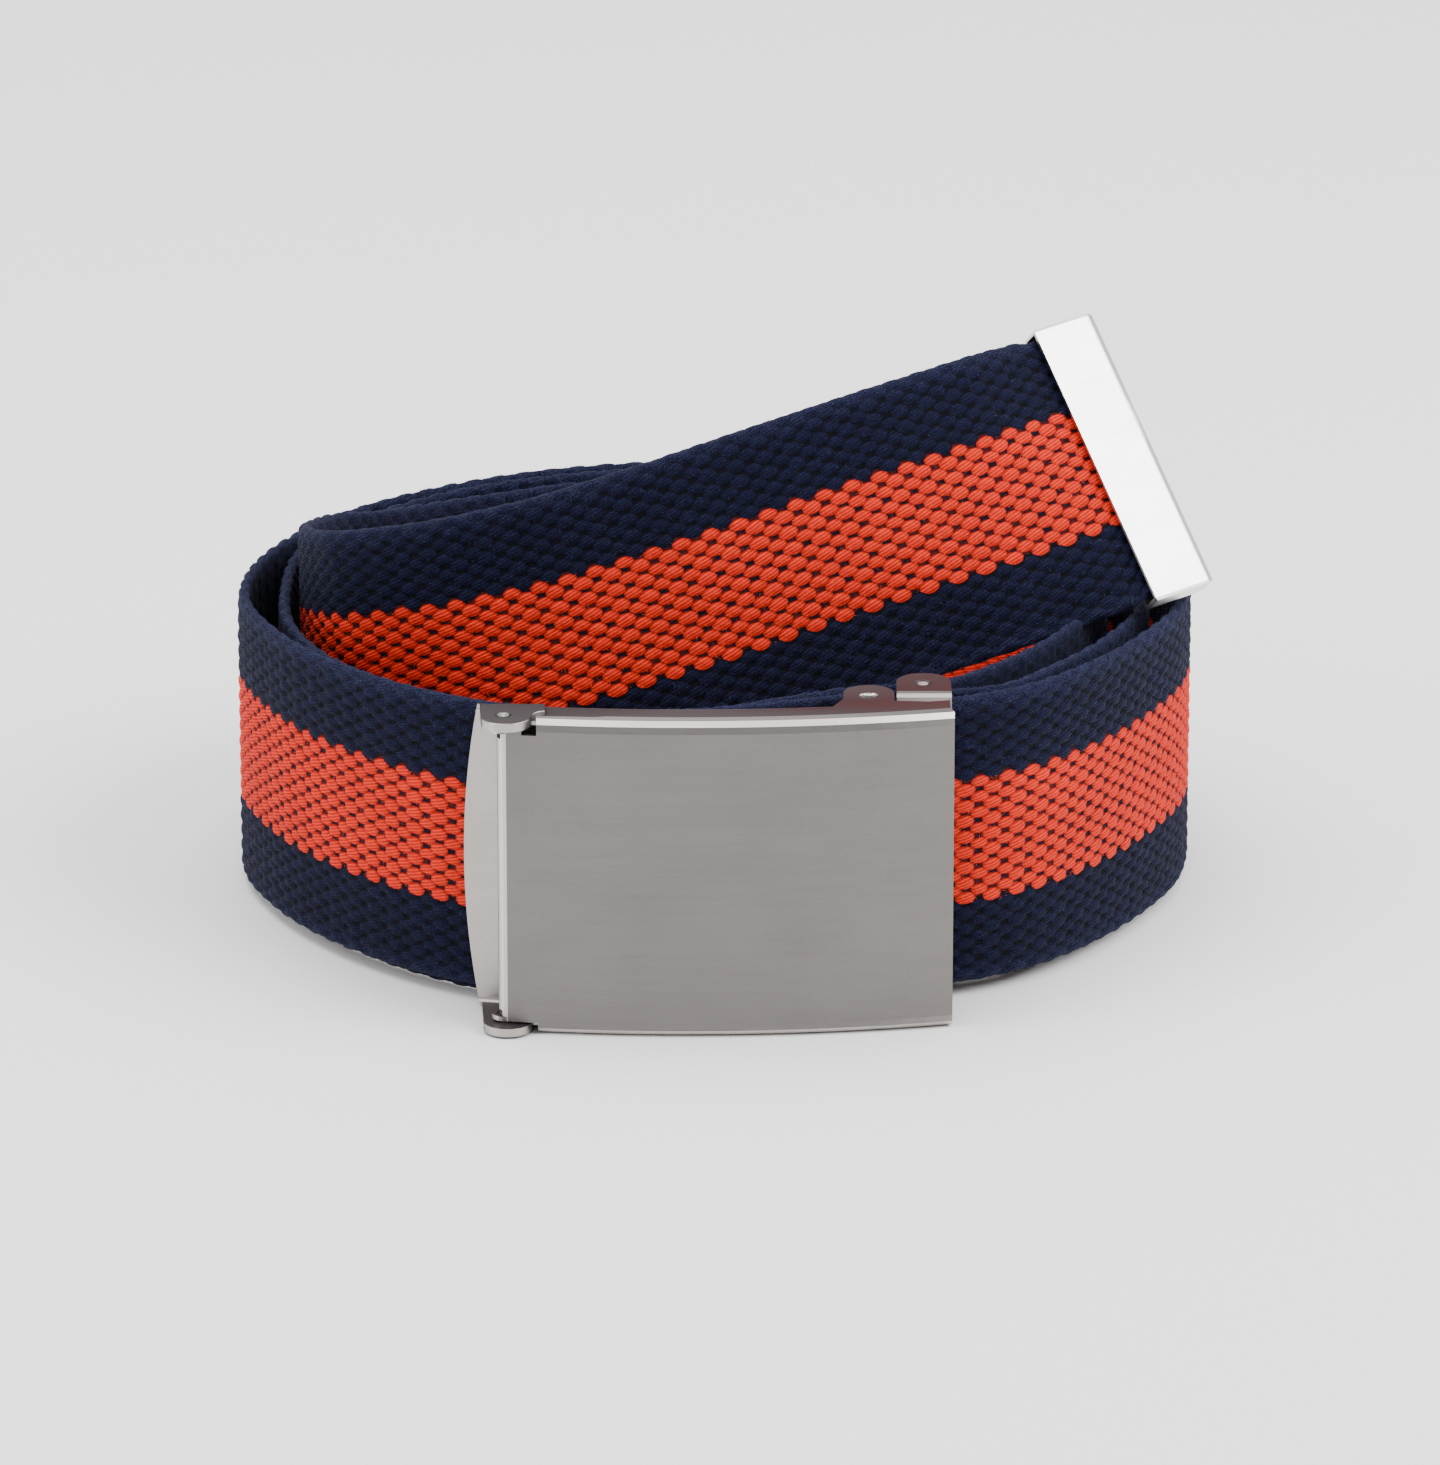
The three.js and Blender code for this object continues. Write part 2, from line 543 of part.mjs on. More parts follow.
// Directions of the webbing at one place: along it, across its width, and out of its face.
function strapAxes(tangent, lean) {
  const side = new THREE.Vector3(tangent.y, -tangent.x, 0).normalize();
  const up = new THREE.Vector3().crossVectors(side, tangent).normalize();
  const width = up.multiplyScalar(Math.cos(lean)).addScaledVector(side, -Math.sin(lean)).normalize();
  const face = new THREE.Vector3().crossVectors(tangent, width).normalize();
  return { width, face };
}

function strapPath() {
  const stations = strapStations();
  const curve = new THREE.CatmullRomCurve3(stations.map((station) => station.point), false, 'centripetal');
  curve.arcLengthDivisions = 2000;
  const length = curve.getLength();
  const free = length - CAP_GRIP - SQUEEZE_END - 1;
  const distances = Array.from({ length: STRAP_STEPS + 1 }, (_, i) => free * i / STRAP_STEPS);
  for (const left of [CAP_GRIP + SQUEEZE_END, CAP_GRIP + SQUEEZE_START, CAP_GRIP / 2, 0]) {
    distances.push(length - left);
  }
  const spans = stations.length - 1;
  const places = [];
  for (const distance of distances) {
    const t = curve.getUtoTmapping(distance / length);
    const span = Math.min(Math.floor(t * spans), spans - 1);
    const part = THREE.MathUtils.smoothstep(t * spans - span, 0, 1);
    const lean = THREE.MathUtils.lerp(stations[span].lean, stations[span + 1].lean, part);
    const tangent = curve.getTangent(t).normalize();
    const point = curve.getPoint(t);
    point.z = Math.max(point.z, STRAP_WIDTH / 2);
    places.push({ point, tangent, ...strapAxes(tangent, lean) });
  }
  return places;
}

// A closed solid through a row of equal convex rings of points.
function loft(rings) {
  const count = rings[0].length;
  const positions = rings.flat().flatMap((point) => [point.x, point.y, point.z]);
  const faces = [];
  for (let i = 0; i + 1 < rings.length; i++) {
    for (let j = 0; j < count; j++) {
      const a = i * count + j;
      const b = i * count + (j + 1) % count;
      faces.push(a, b, b + count, a, b + count, a + count);
    }
  }
  const lastRing = (rings.length - 1) * count;
  for (let j = 1; j + 1 < count; j++) {
    faces.push(0, j + 1, j);
    faces.push(lastRing, lastRing + j, lastRing + j + 1);
  }
  const geometry = new THREE.BufferGeometry();
  geometry.setAttribute('position', new THREE.Float32BufferAttribute(positions, 3));
  geometry.setIndex(faces);
  geometry.computeVertexNormals();
  return geometry;
}

function buildStrap(places) {
  const halfThickness = STRAP_THICKNESS / 2;
  const c = STRAP_EDGE_CHAMFER;
  const tip = places[places.length - 1];
  return loft(places.map(({ point, width, face }) => {
    // Narrower from just before the cap on.
    const away = point.distanceTo(tip.point) - CAP_GRIP;
    const squeeze = 1 - THREE.MathUtils.smoothstep(away, SQUEEZE_START + 0.01, SQUEEZE_END);
    const half = THREE.MathUtils.lerp(STRAP_WIDTH, STRAP_END_WIDTH, squeeze) / 2;
    const section = [
      [half, halfThickness - c],
      [half - c, halfThickness],
      [-half + c, halfThickness],
      [-half, halfThickness - c],
      [-half, -halfThickness + c],
      [-half + c, -halfThickness],
      [half - c, -halfThickness],
      [half, -halfThickness + c],
    ];
    return section.map(([across, out]) => (
      point.clone().addScaledVector(width, across).addScaledVector(face, out)));
  }));
}

function capFace() {
  // Face of the cap along the strap and across it, with its two far corners rounded.
  const end = CAP_LENGTH / 2 + 0.02;
  const far = CAP_REACH + 0.02;
  const shape = new THREE.Shape();
  shape.moveTo(-1, -end);
  shape.lineTo(far - CAP_CORNER, -end);
  shape.absarc(far - CAP_CORNER, -end + CAP_CORNER, CAP_CORNER, -Math.PI / 2, 0, false);
  shape.absarc(far - CAP_CORNER, end - CAP_CORNER, CAP_CORNER, 0, Math.PI / 2, false);
  shape.lineTo(-1, end);
  const geometry = new THREE.ExtrudeGeometry(shape, { depth: 10, bevelEnabled: false, curveSegments: 6 });
  geometry.rotateX(Math.PI / 2);
  geometry.translate(0, 5, 0);
  return toSolid(geometry);
}

function buildCap(place) {
  // Outline across the strap's thickness: open towards the strap, folded round at the far end.
  const half = CAP_THICKNESS / 2;
  const fold = new THREE.Shape();
  fold.moveTo(0, -half);
  fold.lineTo(CAP_REACH - half, -half);
  fold.absarc(CAP_REACH - half, 0, half, -Math.PI / 2, Math.PI / 2, false);
  fold.lineTo(0, half);
  const outer = planBlock(fold, -CAP_LENGTH / 2, CAP_LENGTH / 2, 0.4, 10).intersect(capFace());
  const pocket = boxSolid(
    -2, CAP_GRIP + 0.4, -half + CAP_SHEET, half - CAP_SHEET,
    -CAP_LENGTH / 2 + CAP_SHEET, CAP_LENGTH / 2 - CAP_SHEET);
  const geometry = toGeometry(outer.subtract(pocket));
  const start = place.point.clone().addScaledVector(place.tangent, -CAP_GRIP);
  const basis = new THREE.Matrix4().makeBasis(
    place.tangent, new THREE.Vector3().crossVectors(place.width, place.tangent), place.width);
  geometry.applyMatrix4(basis);
  geometry.translate(start.x, start.y, start.z);
  return geometry;
}

function addMesh(group, name, geometry, material) {
  const mesh = new THREE.Mesh(geometry, material);
  mesh.name = name;
  group.add(mesh);
}

const belt = new THREE.Group();
const places = strapPath();
addMesh(belt, 'strap', buildStrap(places), webbing);
addMesh(belt, 'tip_cap', buildCap(places[places.length - 1]), brightSteel);
addMesh(belt, 'buckle_frame', toGeometry(buildFrame()), steel);
addMesh(belt, 'clamp_jaw', toGeometry(buildJaw()), darkSteel);

const hingePins = new THREE.Group();
const pinStart = MIDDLE_Z - EAR_HEIGHT / 2;
const pinEnd = MIDDLE_Z + EAR_HEIGHT / 2;
for (const [name, low] of [['hinge_pin_bottom', pinStart], ['hinge_pin_top', pinEnd - PIN_LENGTH]]) {
  const stud = uprightCylinder(PIN_X, PIN_Y, PIN_RADIUS, low, low + PIN_LENGTH);
  addMesh(hingePins, name, toGeometry(stud), brightSteel);
}
belt.add(hingePins);

const lidGroup = new THREE.Group();
addMesh(lidGroup, 'buckle_lid', toGeometry(buildLid()), steel);
belt.add(lidGroup);

const bounds = new THREE.Box3().setFromObject(belt);
const middle = bounds.getCenter(new THREE.Vector3());
for (const child of belt.children) child.position.set(-middle.x, -middle.y, -bounds.min.z);

export default belt;
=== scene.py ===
"""Looks of the coiled webbing belt: woven strap, brushed plate buckle and folded metal tip, on a pale floor.

Lengths are millimetres in part.mjs's own layout, which SHIFT moves to the row frame, unless a comment names
another unit.
"""

import math

import bmesh
import bpy
import numpy as np
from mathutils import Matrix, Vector


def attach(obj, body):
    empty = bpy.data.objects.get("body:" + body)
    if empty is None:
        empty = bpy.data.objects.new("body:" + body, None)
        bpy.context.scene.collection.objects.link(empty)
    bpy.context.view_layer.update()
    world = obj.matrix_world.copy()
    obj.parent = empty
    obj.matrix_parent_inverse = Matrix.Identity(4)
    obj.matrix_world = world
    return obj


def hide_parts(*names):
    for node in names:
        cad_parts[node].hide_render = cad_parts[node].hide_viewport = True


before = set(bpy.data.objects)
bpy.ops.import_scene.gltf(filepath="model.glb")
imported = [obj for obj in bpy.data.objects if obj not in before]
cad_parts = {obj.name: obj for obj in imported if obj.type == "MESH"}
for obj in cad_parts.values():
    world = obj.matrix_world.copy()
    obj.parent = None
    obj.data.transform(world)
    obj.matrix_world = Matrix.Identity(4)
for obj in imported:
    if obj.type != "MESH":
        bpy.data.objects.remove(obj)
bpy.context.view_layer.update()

MM = 0.001
SHIFT = np.array((-0.4095191955566406, -3.6894454956054688, 0.0))

# ---------------------------------------------------------------- camera

AIM = np.array((0.0, 0.0, 20.4))
CAMERA_DISTANCE = 1200.0
CAMERA_ELEVATION = math.radians(18.5)
FOCAL_PIXELS, PHOTO_HEIGHT, SENSOR = 9456.0, 1465.0, 36.0
CLIP_METRES = (0.05, 20.0)

camera_data = bpy.data.cameras.new("camera")
camera = bpy.data.objects.new("camera", camera_data)
bpy.context.scene.collection.objects.link(camera)
back = np.array((0.0, -math.cos(CAMERA_ELEVATION), math.sin(CAMERA_ELEVATION)))
camera.location = (AIM + SHIFT + back * CAMERA_DISTANCE) * MM
camera.rotation_euler = (math.pi / 2 - CAMERA_ELEVATION, 0.0, 0.0)
camera_data.sensor_width = SENSOR
camera_data.lens = SENSOR * FOCAL_PIXELS / PHOTO_HEIGHT
camera_data.clip_start, camera_data.clip_end = CLIP_METRES
bpy.context.scene.camera = camera

# ---------------------------------------------------------------- webbing path, as in part.mjs

STRAP_WIDTH, STRAP_THICKNESS = 37.5, 1.9
COIL_CENTRE = np.array((0.3, 6.0))
# the buckle holds the outer turn off the floor at the front, and the clamp lifts the second turn there
FRONT_LIFT, LIFT_STARTS_AT_Y, LIFT_RUN = 1.6, 50.0, 95.0
SETTLES_FROM_ANGLE, SETTLED_AT_ANGLE = 300.0, 350.0
LIFTS_FROM_ANGLE, LIFTED_AT_ANGLE = 618.0, 648.0
# length inside the cap, and the webbing's narrowing on its way into it
CAP_GRIP, SQUEEZE_START, SQUEEZE_END, STRAP_END_WIDTH = 7.1, 0.4, 2.4, 36.6
POINTS_PER_SPAN = 60

# angle round the coil in degrees: radius of the webbing's outer face
COIL_ROWS = (
    (-66.7, 52.8), (-63.5, 54.2), (-59.8, 56.0), (-50, 57.2), (-38, 57.1), (-22, 57.4), (-6, 59.1), (14, 60.6),
    (38, 60.8), (64, 59.4), (90, 58.3), (115, 59.0), (140, 60.2), (162, 61.1), (182, 61.6), (199, 60.0),
    (215, 58.8), (231, 58.2), (244, 57.3), (257, 55.0), (270, 52.3), (282, 50.0), (290.5, 49.3), (294.5, 49.9),
    (298.6, 51.6), (302.3, 53.0), (310, 54.4), (322, 53.0), (338, 52.7), (356, 54.2), (380, 55.6), (410, 56.2),
    (440, 55.6), (466, 55.9), (490, 57.2), (518, 58.2), (538, 56.5), (554, 56.7), (568, 56.6), (584, 56.0),
    (600, 55.3), (613, 53.1), (628, 49.9), (641, 47.4), (650, 46.9), (656, 47.8), (664, 49.6), (674, 48.6),
    (688, 47.6), (708, 48.0), (732, 50.2), (760, 52.0), (790, 51.9), (820, 51.6), (845, 52.6),
)  # fmt: skip
# x, y, z, lean in degrees
TAIL_ROWS = (
    (-46.2, 31.6, 21.2, 2), (-51.3, 19.8, 24.0, 1), (-52.5, 5.8, 27.0, 1), (-46.9, -7.3, 30.4, 1),
    (-35.4, -15.1, 34.0, 4), (-21.1, -17.6, 37.7, 10.5), (-6.7, -16.3, 41.7, 16), (7.4, -12.9, 45.6, 19),
    (21.3, -8.8, 49.2, 21.5), (34.4, -3.7, 52.1, 27), (46.7, 3.3, 54.2, 37),
)  # fmt: skip


def share(value, low, high):
    """How far value has come from low to high, held between 0 and 1."""
    return min(max((value - low) / (high - low), 0.0), 1.0)


def strap_stations():
    """Middles of the webbing and its leans in radians, from the clamp to the end inside the cap."""
    points, leans = [], []
    for angle, radius in COIL_ROWS:
        turn, middle = math.radians(angle), radius - STRAP_THICKNESS / 2
        x = COIL_CENTRE[0] + middle * math.cos(turn)
        y = COIL_CENTRE[1] + middle * math.sin(turn)
        before = share(angle, SETTLED_AT_ANGLE, SETTLES_FROM_ANGLE)
        after = share(angle, LIFTS_FROM_ANGLE, LIFTED_AT_ANGLE)
        front = share(y, LIFT_STARTS_AT_Y, LIFT_STARTS_AT_Y - LIFT_RUN)
        points.append((x, y, STRAP_WIDTH / 2 + FRONT_LIFT * front * max(before, after)))
        leans.append(0.0)
    for x, y, z, lean in TAIL_ROWS:
        points.append((x, y, z))
        leans.append(math.radians(lean))
    points = [np.array(p, float) for p in points]
    heading = points[-1] - points[-2]
    heading /= np.linalg.norm(heading)
    last = points[-1]
    for reach in (CAP_GRIP / 2, CAP_GRIP):
        points.append(last + heading * reach)
        leans.append(leans[-1])
    return np.array(points), np.array(leans)


def centripetal(points):
    """Points and span positions of three.js's open centripetal Catmull-Rom curve."""
    padded = np.vstack((2 * points[0] - points[1], points, 2 * points[-1] - points[-2]))
    places, spans = [], []
    for i in range(len(points) - 1):
        x0, x1, x2, x3 = padded[i : i + 4]
        d0, d1, d2 = (math.sqrt(np.linalg.norm(b - a)) for a, b in ((x0, x1), (x1, x2), (x2, x3)))
        t1 = ((x1 - x0) / d0 - (x2 - x0) / (d0 + d1) + (x2 - x1) / d1) * d1
        t2 = ((x2 - x1) / d1 - (x3 - x1) / (d1 + d2) + (x3 - x2) / d2) * d1
        for t in np.arange(POINTS_PER_SPAN) / POINTS_PER_SPAN:
            places.append(
                (2 * t**3 - 3 * t**2 + 1) * x1 + (t**3 - 2 * t**2 + t) * t1
                + (3 * t**2 - 2 * t**3) * x2 + (t**3 - t**2) * t2
            )  # fmt: skip
            spans.append(i + t)
    places.append(points[-1])
    spans.append(len(points) - 1.0)
    return np.array(places), np.array(spans)


STATIONS, LEANS = strap_stations()
CURVE, CURVE_SPANS = centripetal(STATIONS)
CURVE_REACH = np.concatenate(((0.0,), np.cumsum(np.linalg.norm(np.diff(CURVE, axis=0), axis=1))))
STRAP_LENGTH = float(CURVE_REACH[-1])


def unit(vectors):
    return vectors / np.linalg.norm(vectors, axis=-1, keepdims=True)


def strap_axes(reach):
    """Middle of the webbing and its directions along, across and out of its face, at each reach along it."""
    point = np.stack([np.interp(reach, CURVE_REACH, CURVE[:, k]) for k in range(3)], axis=1)
    tangents = unit(np.gradient(CURVE, CURVE_REACH, axis=0))
    tangent = unit(np.stack([np.interp(reach, CURVE_REACH, tangents[:, k]) for k in range(3)], axis=1))
    span = np.interp(reach, CURVE_REACH, CURVE_SPANS)
    low = np.minimum(span.astype(int), len(LEANS) - 2)
    part = span - low
    part = part * part * (3 - 2 * part)
    lean = (LEANS[low] * (1 - part) + LEANS[low + 1] * part)[:, None]
    point[:, 2] = np.maximum(point[:, 2], STRAP_WIDTH / 2)
    side = unit(np.stack((tangent[:, 1], -tangent[:, 0], np.zeros(len(reach))), axis=1))
    up = unit(np.cross(side, tangent))
    width = unit(up * np.cos(lean) - side * np.sin(lean))
    return point, tangent, width, unit(np.cross(tangent, width))


def reach_at(angle):
    """Reach along the webbing at one of the coil's table angles, counted on over its turns."""
    angles = [row[0] for row in COIL_ROWS]
    return float(np.interp(np.interp(angle, angles, range(len(angles))), CURVE_SPANS, CURVE_REACH))


# ---------------------------------------------------------------- weave

# Two sorts of float in a centred lattice: A in the corners and B, larger, in the middles. The lattice goes
# round the section in LOOP_ROWS rows: outer face, top edge, inner face, bottom edge.
CELL_ALONG, ROW = 3.76, 2.0
LOOP_ROWS = 38
FACE_HALF, EDGE_ARC = 17.9, 2.2
# where the inner face and the bottom edge start in the loop, which starts at -FACE_HALF
INNER_START, BOTTOM_START = FACE_HALF + EDGE_ARC, FACE_HALF * 3 + EDGE_ARC
STRIPE_MIDDLE, STRIPE_ROWS = 0.25, 4.0
# half length, half width and height, then the place in the cell, along and across
FLOATS = ((1.27, 0.73, 0.44, 0.0, 0.0), (1.34, 0.83, 0.49, 0.47, 0.5))
FLOAT_POWER = 2.15
# a fixed scatter over columns, rows and sorts gives each float its share of the full height
SCATTER_COLUMN, SCATTER_ROW, SCATTER_SORT, SCATTER_SCALE = 12.9898, 78.233, 37.7, 43758.5453
HEIGHT_MEAN, HEIGHT_SPREAD = 0.93, 0.14
CORE_HALF, EDGE_BULGE = 0.44, 0.42
RIM_FLATTENING, RIM_REACH = 0.35, 1.7
# the yarns' wander: its size in cells or rows, its waves round the section and its radians per mm along
SWAY_ALONG = ((0.05, 2, 0.11), (0.011, 11, 1.13), (0.009, 23, -0.71))
SWAY_ACROSS = ((0.012, 15, 0.93), (0.010, 8, -1.61))
BROAD_SIZE, BROAD_WAVES, BROAD_TURN = 0.05, 2, 0.23
# steps of the mesh across a finely and a plainly modelled face, over an edge, and along the webbing
FINE_STEPS, PLAIN_STEPS, EDGE_STEPS, RING_STEP = 108, 36, 7, 0.5
LATTICE_UV = "weave"


def float_heights(along, across):
    """Height of the weave over its core, where along and across are in cells and rows."""
    heights = []
    for half_length, half_width, height, place, row_place in FLOATS:
        i, j = np.round(along - place), np.round(across - row_place)
        dx = (along - place - i) * CELL_ALONG
        dy = (across - row_place - j) * ROW
        scatter = i * SCATTER_COLUMN + (j % LOOP_ROWS) * SCATTER_ROW + place * SCATTER_SORT
        scatter = np.sin(scatter) * SCATTER_SCALE
        uneven = HEIGHT_MEAN + HEIGHT_SPREAD * (scatter - np.floor(scatter) - 0.5)
        inside = 1 - np.abs(dx / half_length) ** FLOAT_POWER - np.abs(dy / half_width) ** FLOAT_POWER
        heights.append(height * uneven * np.sqrt(np.maximum(inside, 0)))
    return np.maximum(*heights)


def section_at(loop):
    """Core of the section and its outward direction, each (across, out), at places round its loop."""
    turn = np.zeros(len(loop))
    across = loop.copy()
    top = (loop >= FACE_HALF) & (loop < INNER_START)
    inner = (loop >= INNER_START) & (loop < BOTTOM_START)
    bottom = loop >= BOTTOM_START
    turn[top] = math.pi * (loop[top] - FACE_HALF) / EDGE_ARC
    turn[inner] = math.pi
    turn[bottom] = math.pi + math.pi * (loop[bottom] - FACE_HALF * 3 - EDGE_ARC) / EDGE_ARC
    across[top] = FACE_HALF
    across[inner] = 2 * FACE_HALF + EDGE_ARC - loop[inner]
    across[bottom] = -FACE_HALF
    normal = np.stack((np.sin(turn), np.cos(turn)), axis=1)
    normal[inner, 0] = 0
    base = np.stack((across, np.zeros(len(loop))), axis=1) + normal * (EDGE_BULGE, CORE_HALF)
    return base, normal


def rim_part(loop):
    """1 on the webbing's two rims and 0 on its faces."""
    top, bottom = FACE_HALF + EDGE_ARC / 2, FACE_HALF * 3 + EDGE_ARC * 1.5
    return np.exp(-(((loop - top) / RIM_REACH) ** 2)) + np.exp(-(((loop - bottom) / RIM_REACH) ** 2))


def lattice_places(reach, loop):
    """Cell along and row round the section, with the yarns' slow wander and the unevenness of single floats."""
    round_once = 2 * math.pi / (LOOP_ROWS * ROW)
    u = reach / CELL_ALONG
    for size, waves, turn in SWAY_ALONG:
        u = u + size * np.sin(waves * round_once * loop + reach * turn)
    v = loop / ROW + STRIPE_MIDDLE
    v = v + BROAD_SIZE * np.sin(reach * BROAD_TURN) * np.cos(BROAD_WAVES * round_once * loop)
    for size, waves, turn in SWAY_ACROSS:
        v = v + size * np.sin(waves * round_once * loop + reach * turn)
    return u, v


def weave_heights(u, v, loop):
    """Height of the weave over its core, lower on the rims."""
    return float_heights(u, v) * (1 - RIM_FLATTENING * rim_part(loop))


def loop_samples(fine_outer, fine_inner):
    """Places round the section, in mm of the loop: outer face, top edge, inner face, bottom edge."""
    outer, inner = (FINE_STEPS if fine else PLAIN_STEPS for fine in (fine_outer, fine_inner))
    sides = (
        (-FACE_HALF, FACE_HALF * 2, outer), (FACE_HALF, EDGE_ARC, EDGE_STEPS),
        (INNER_START, FACE_HALF * 2, inner), (BOTTOM_START, EDGE_ARC, EDGE_STEPS),
    )  # fmt: skip
    return np.concatenate([low + width * np.arange(count) / count for low, width, count in sides])


def new_piece(name, places, faces, corner_uv, material):
    """A mesh object at places in the layout, with lattice coordinates as its UV map."""
    mesh = bpy.data.meshes.new(name)
    mesh.from_pydata(((places + SHIFT) * MM).tolist(), [], faces)
    layer = mesh.uv_layers.new(name=LATTICE_UV)
    layer.uv.foreach_set("vector", corner_uv.astype(np.float32).ravel())
    mesh.materials.append(material)
    piece = bpy.data.objects.new(name, mesh)
    bpy.context.scene.collection.objects.link(piece)
    return piece


def webbing_piece(name, start, end, fine_outer, fine_inner, material):
    """One stretch of the webbing, closed at both ends."""
    rings = max(2, round((end - start) / RING_STEP) + 1)
    reach = np.linspace(start, end, rings)
    point, tangent, width, face = strap_axes(reach)
    loop = loop_samples(fine_outer, fine_inner)
    count = len(loop)

    base, normal = section_at(loop)
    u, v = lattice_places(reach[:, None], loop[None, :])
    height = weave_heights(u, v, loop)

    before_cap = STRAP_LENGTH - reach - CAP_GRIP
    squeeze = 1 - np.clip((before_cap - SQUEEZE_START) / (SQUEEZE_END - SQUEEZE_START), 0, 1)
    narrow = 1 - squeeze * (1 - STRAP_END_WIDTH / STRAP_WIDTH)
    section = base[None] + normal[None] * height[:, :, None]
    section[:, :, 0] *= narrow[:, None]
    places = point[:, None] + width[:, None] * section[:, :, :1] + face[:, None] * section[:, :, 1:]

    ring = np.arange(rings - 1)[:, None] * count
    here, beyond = np.arange(count)[None], (np.arange(count)[None] + 1) % count
    quads = (ring + here, ring + beyond, ring + count + beyond, ring + count + here)
    quads = np.stack(quads, axis=2).reshape(-1, 4)
    first, last = list(range(count)), [(rings - 1) * count + k for k in range(count)]
    next_loop = np.append(loop[1:], loop[0] + LOOP_ROWS * ROW)
    next_v = v + ((next_loop - loop) / ROW)[None]
    corner_uv = np.stack((
        np.stack((u[:-1], v[:-1]), -1), np.stack((u[:-1], next_v[:-1]), -1),
        np.stack((u[1:], next_v[1:]), -1), np.stack((u[1:], v[1:]), -1),
    ), axis=2).reshape(-1, 2)  # fmt: skip
    end_uv = np.stack((np.concatenate((u[0][::-1], u[-1])), np.concatenate((v[0][::-1], v[-1]))), axis=1)

    faces = quads.tolist() + [first[::-1], last]
    piece = new_piece(name, places.reshape(-1, 3), faces, np.concatenate((corner_uv, end_uv)), material)
    piece.data.polygons.foreach_set("use_smooth", np.ones(len(faces), bool))
    piece.data.update()
    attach(piece, "belt")
    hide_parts("strap")


# ---------------------------------------------------------------- material helpers

NOISE_RANGE = (0.3, 0.7)


class Nodes:
    """A material and short ways to add nodes to it."""

    def __init__(self, name):
        self.material = bpy.data.materials.new(name)
        self.material.use_nodes = True
        self.tree = self.material.node_tree
        self.shader = self.tree.nodes["Principled BSDF"]

    def add(self, kind, inputs=None, **settings):
        node = self.tree.nodes.new("ShaderNode" + kind)
        for key, value in settings.items():
            setattr(node, key, value)
        for key, value in (inputs or {}).items():
            self.put(node.inputs[key], value)
        return node

    def put(self, socket, value):
        if isinstance(value, bpy.types.NodeSocket):
            self.tree.links.new(value, socket)
        else:
            socket.default_value = value

    def math(self, operation, a, b=0.0, c=0.0):
        node = self.add("Math", operation=operation)
        for socket, value in zip(node.inputs, (a, b, c)):
            self.put(socket, value)
        return node.outputs[0]

    def ramp(self, value, low, high, to_low=0.0, to_high=1.0):
        node = self.add("MapRange")
        for socket, number in zip(node.inputs, (value, low, high, to_low, to_high)):
            self.put(socket, number)
        return node.outputs[0]

    def mix(self, part, a, b, kind="RGBA"):
        node = self.add("Mix", data_type=kind)
        factor, from_a, from_b, result = {"RGBA": (0, 6, 7, 2), "FLOAT": (0, 2, 3, 0)}[kind]
        self.put(node.inputs[factor], part)
        self.put(node.inputs[from_a], a)
        self.put(node.inputs[from_b], b)
        return node.outputs[result]

    def spread(self, noise, low=0.0, high=1.0):
        """A noise's usual range stretched to run from low to high."""
        return self.ramp(noise, *NOISE_RANGE, low, high)

    def noise(self, vector, scale, detail=2.0, roughness=0.5):
        node = self.add("TexNoise", {"Vector": vector, "Scale": scale, "Detail": detail, "Roughness": roughness})
        return node.outputs["Fac"]

    def scaled(self, vector, factor):
        return self.add("VectorMath", {0: vector, "Scale": factor}, operation="SCALE").outputs[0]

    def along_axis(self, vector, axis, size=1.0):
        """The vector's length along a direction, counted in sizes."""
        inputs = {0: vector, 1: tuple(float(a) / size for a in axis)}
        return self.add("VectorMath", inputs, operation="DOT_PRODUCT").outputs["Value"]

    def stretched(self, axes, sizes):
        """Object coordinates measured along three directions, each divided by its size in metres."""
        where = self.add("TexCoord").outputs["Object"]
        parts = [self.along_axis(where, axis, size) for axis, size in zip(axes, sizes)]
        return self.add("CombineXYZ", {0: parts[0], 1: parts[1], 2: parts[2]}).outputs[0]

    def set(self, **values):
        for name, value in values.items():
            self.put(self.shader.inputs[name.replace("_", " ")], value)


# ---------------------------------------------------------------- yarn materials

# linear colours of the yarns, from their darker to their lighter fibres; the rims' navy is fuzz with painted
# sheen, and the gaps' colours are painted shade between the floats
ORANGE = ((0.48, 0.006, 0.009, 1), (0.72, 0.036, 0.005, 1))
NAVY = ((0.0011, 0.0015, 0.0100, 1), (0.0080, 0.0098, 0.0420, 1))
RIM_NAVY_AND_SHEEN = ((0.0016, 0.0022, 0.0110, 1), (0.0185, 0.0210, 0.0640, 1))
ORANGE_GAP_SHADE = ((0.030, 0.0080, 0.030, 1), (0.190, 0.018, 0.022, 1))
NAVY_GAP_SHADE = (0.0040, 0.0042, 0.0140, 1)
LOOSE_ORANGE = ((0.62, 0.06, 0.024, 1), (0.85, 0.14, 0.07, 1))
LOOSE_NAVY = ((0.012, 0.016, 0.050, 1), (0.055, 0.065, 0.15, 1))
# noise scales per metre
PATCHES, GAPS, SPECKS, LOOSE_TONES, HAIRS, GRAIN = 90.0, 800.0, 1500.0, 2200.0, 4500.0, 6500.0
# width of one ply and its slant over the float, and the noise's stretch along it and over it
PLY_WIDTH, PLY_SLANT = 0.42, 0.26
FIBRE_STRETCH_ALONG, FIBRE_STRETCH_OVER = 3.0, 9.0
# rows from the middle of a rim where its lighter navy, fuzz with painted sheen, starts, and where it is full
RIM_COLOUR_STARTS, RIM_COLOUR_FULL = 1.5, 0.6
# what each layer adds to the orange's tone; the plies' share is painted light on their crests and painted shade
# between them
PLY_LIGHT_AND_SHADE, GRAIN_TONE, SPECK_TONES = 0.18, 0.5, (0.07, 0.43)
